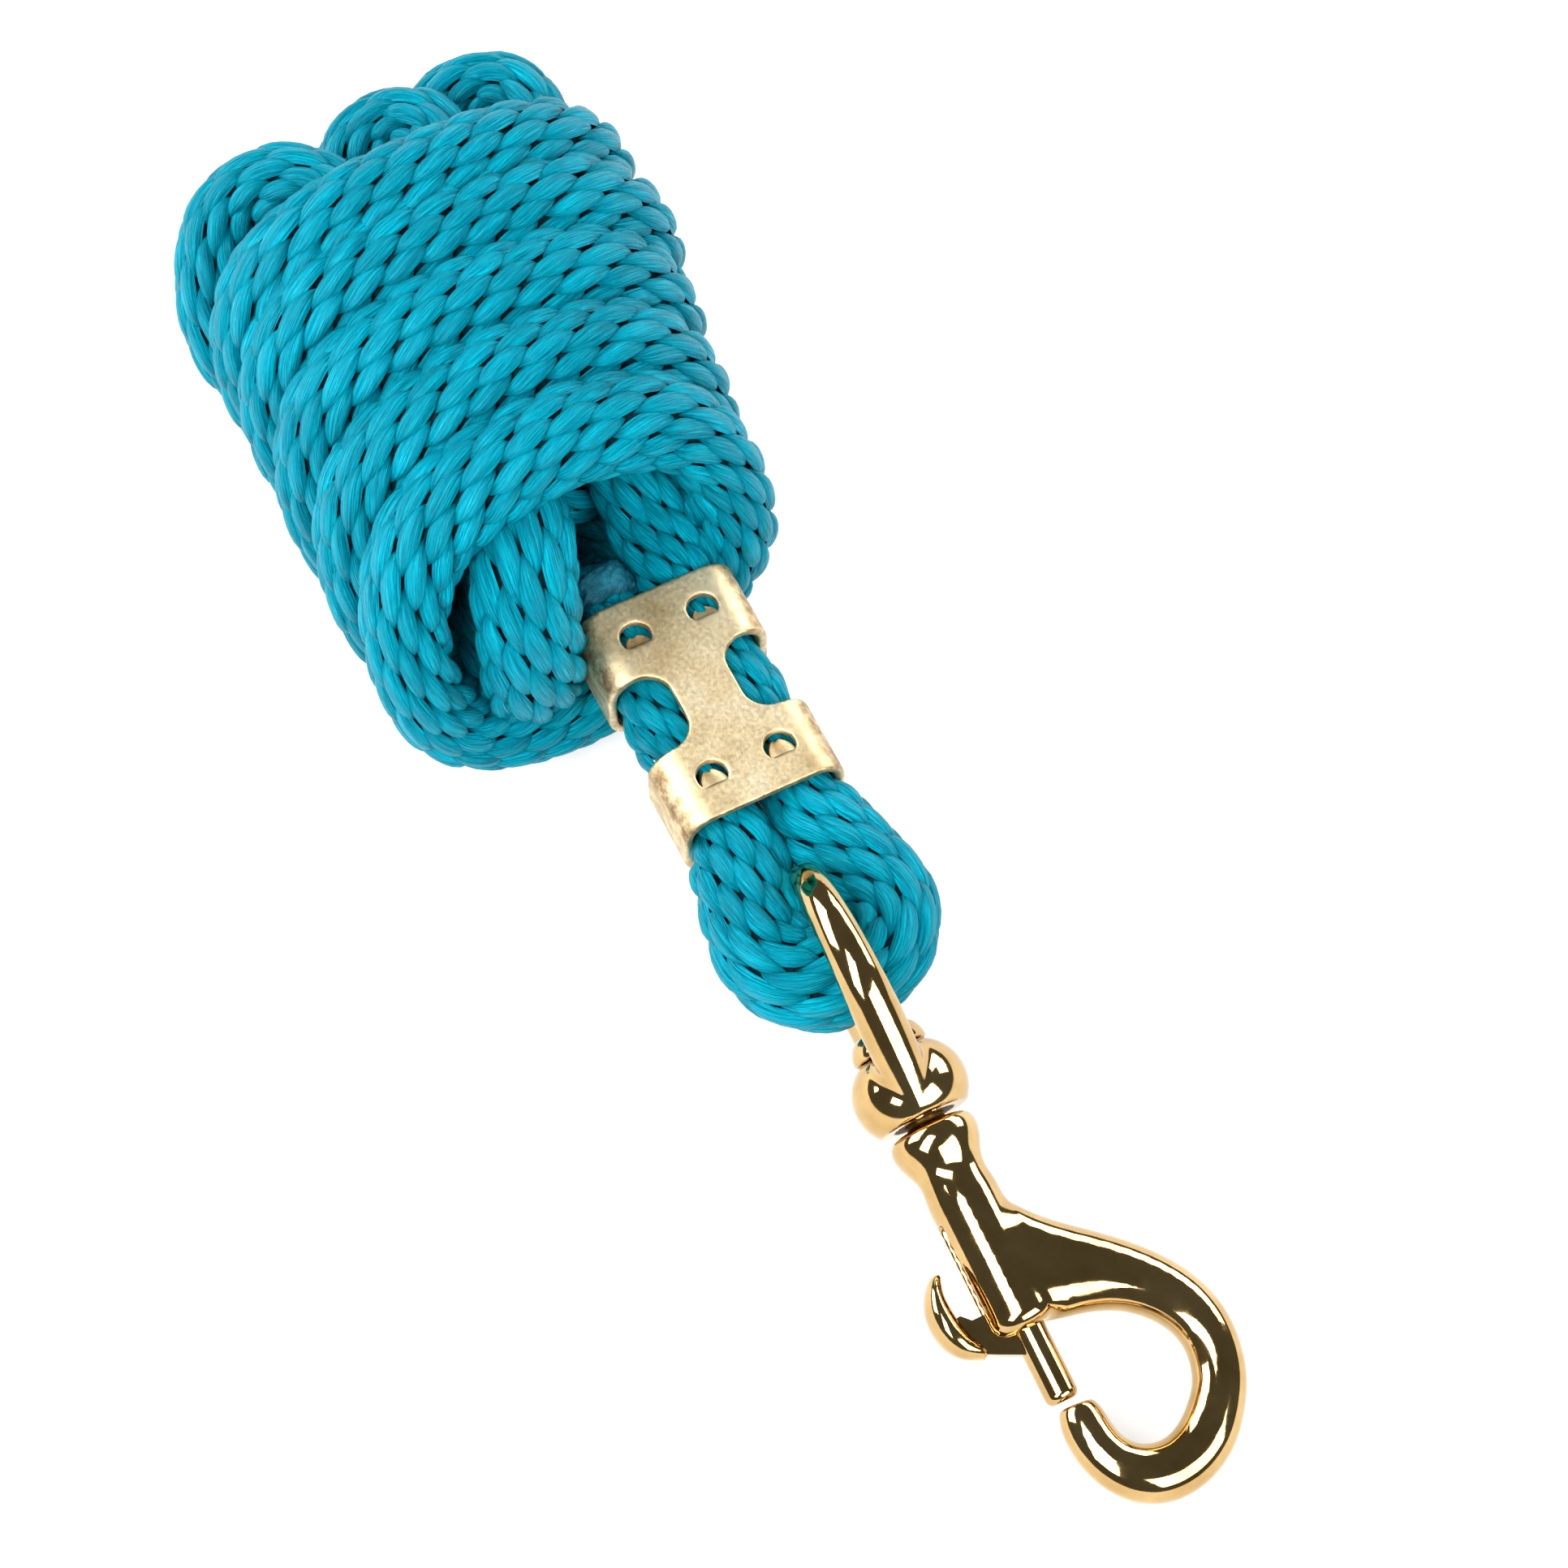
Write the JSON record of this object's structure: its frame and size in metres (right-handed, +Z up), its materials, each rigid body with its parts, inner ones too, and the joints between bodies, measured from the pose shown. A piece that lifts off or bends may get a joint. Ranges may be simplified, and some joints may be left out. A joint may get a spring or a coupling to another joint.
{
  "type": "lead rope",
  "caption": "Hanked braided lead rope, clamped in a loop round the eye of a swivel bolt snap that clips to a halter ring",
  "frame": {"origin": "on the table under the middle of the object's box", "axes": "+X along the lead from the hank to the hook, +Y the side that the hook bulges to, +Z up"},
  "size_m": [0.2695, 0.0763, 0.062],
  "materials": {
    "rope": "satin",
    "clamp_brass": "satin",
    "plated_brass": "polished",
    "spring_steel": "satin"
  },
  "bodies": {
    "root": {"rope_hank": "rope", "rope_standing": "rope", "rope_in_clamp": "rope", "rope_loop": "rope", "rope_bitter_end": "rope", "rope_clamp": "clamp_brass"},
    "eye": {"swivel_eye": "plated_brass"},
    "snap": {"snap_body": "plated_brass", "bolt_spring": "spring_steel"},
    "bolt": {"bolt": "plated_brass"}
  },
  "joints": [
    {"name": "eye_swing", "type": "hinge", "parent": "root", "child": "eye", "pos_m": [0.0427, 0.009, 0.024], "axis": [-0.0296, -0.9903, -0.136], "range_deg": [-90, 90]},
    {"name": "snap_swivel", "type": "hinge", "parent": "eye", "child": "snap", "pos_m": [0.06132, 0.009, 0.01957], "axis": [0.9771, 0, -0.2129], "continuous": true},
    {"name": "bolt_slide", "type": "slide", "parent": "snap", "child": "bolt", "axis": [-0.9771, 0, 0.2129], "range_m": [0, 0.012], "stiffness_N_per_m": 400, "springref_m": -0.008, "deforming": ["bolt_spring"]}
  ]
}
